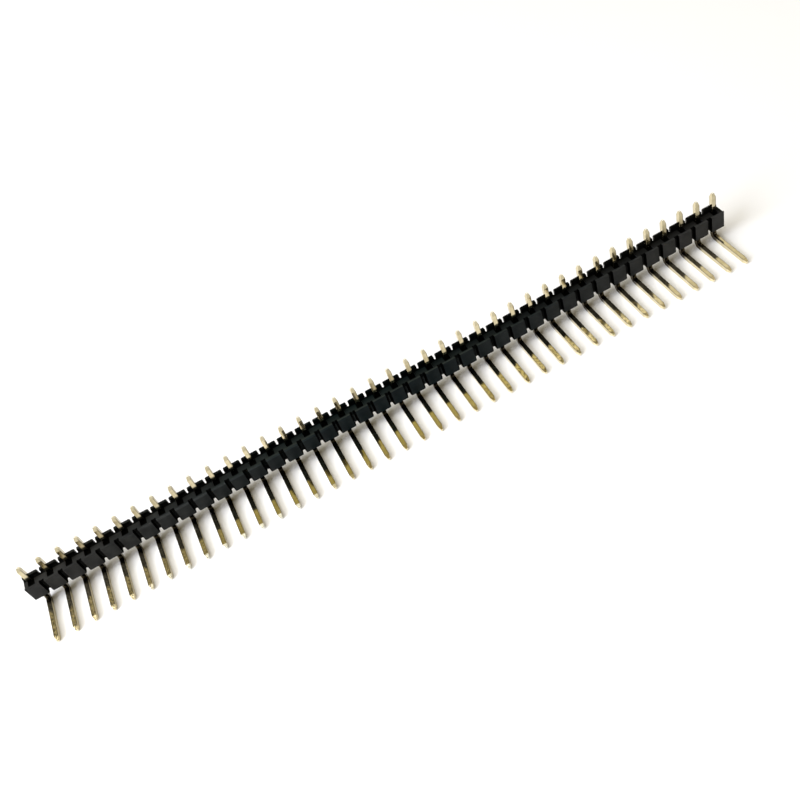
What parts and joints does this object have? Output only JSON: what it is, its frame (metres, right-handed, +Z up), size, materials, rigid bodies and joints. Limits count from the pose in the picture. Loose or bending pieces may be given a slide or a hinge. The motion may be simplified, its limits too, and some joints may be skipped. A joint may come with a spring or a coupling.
{
  "type": "pin header strip",
  "caption": "Single-row right-angle pin header: square gold-plated pins bent once and held in a black moulded strip of notched cells.",
  "frame": {"origin": "on the surface that the legs lie on, under the centre of the whole strip's box", "axes": "+X along the row, -Y the way the legs point, +Z up along the tails"},
  "size_m": [0.101, 0.008, 0.0076],
  "materials": {
    "housing": "satin black moulded plastic",
    "pins": "bright pale gold plating"
  },
  "bodies": {
    "root": {"housing": "housing", "pin_01": "pins", "pin_02": "pins", "pin_03": "pins", "pin_04": "pins", "pin_05": "pins", "pin_06": "pins", "pin_07": "pins", "pin_08": "pins", "pin_09": "pins", "pin_10": "pins", "pin_11": "pins", "pin_12": "pins", "pin_13": "pins", "pin_14": "pins", "pin_15": "pins", "pin_16": "pins", "pin_17": "pins", "pin_18": "pins", "pin_19": "pins", "pin_20": "pins", "pin_21": "pins", "pin_22": "pins", "pin_23": "pins", "pin_24": "pins", "pin_25": "pins", "pin_26": "pins", "pin_27": "pins", "pin_28": "pins", "pin_29": "pins", "pin_30": "pins", "pin_31": "pins", "pin_32": "pins", "pin_33": "pins", "pin_34": "pins", "pin_35": "pins", "pin_36": "pins", "pin_37": "pins", "pin_38": "pins", "pin_39": "pins", "pin_40": "pins"}
  },
  "joints": []
}
